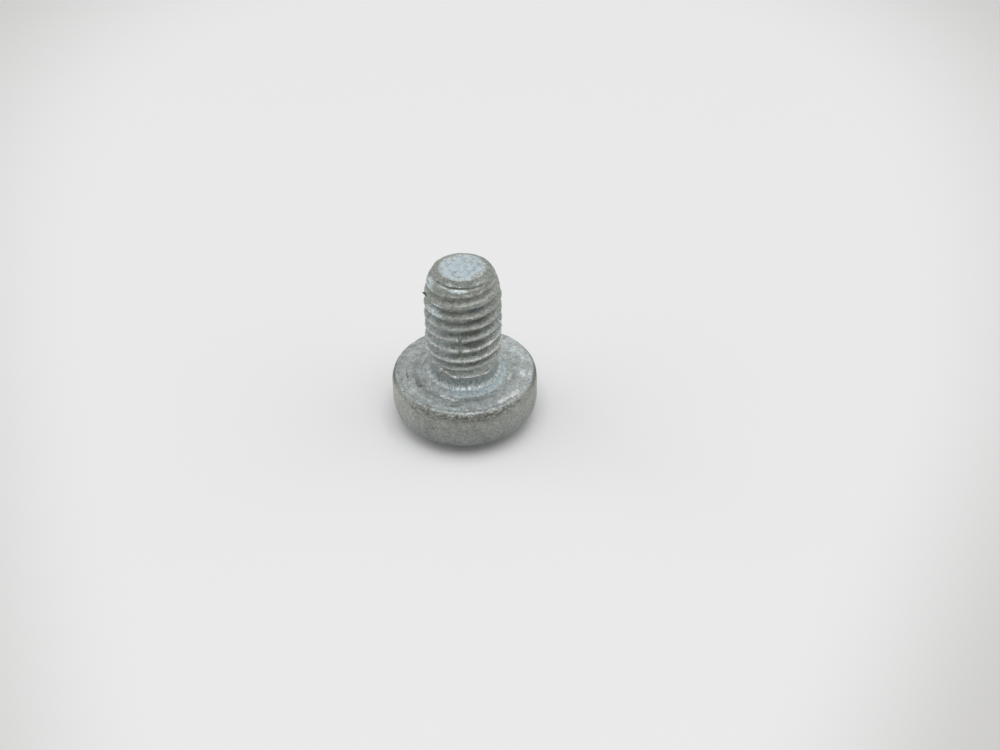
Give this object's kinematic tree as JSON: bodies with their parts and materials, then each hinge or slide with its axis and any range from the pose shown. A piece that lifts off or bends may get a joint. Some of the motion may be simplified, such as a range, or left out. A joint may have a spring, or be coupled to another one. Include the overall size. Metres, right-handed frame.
{
  "type": "machine screw",
  "caption": "Short zinc-plated pan head machine screw with a right-hand thread, standing on its head, with a cross recess in the crown.",
  "frame": {"origin": "on the screw's axis, at the level of the surface that the head stands on", "axes": "+Z along the shank from the head towards the tip; -Y is the side that faces the camera in the picture"},
  "size_m": [0.0092, 0.0092, 0.0114],
  "materials": {
    "zinc_plated_steel": "matt zinc plating, blotched and grainy, with worn bright crests and dark soiled edges"
  },
  "bodies": {
    "root": {"machine_screw": "zinc_plated_steel"}
  },
  "joints": []
}
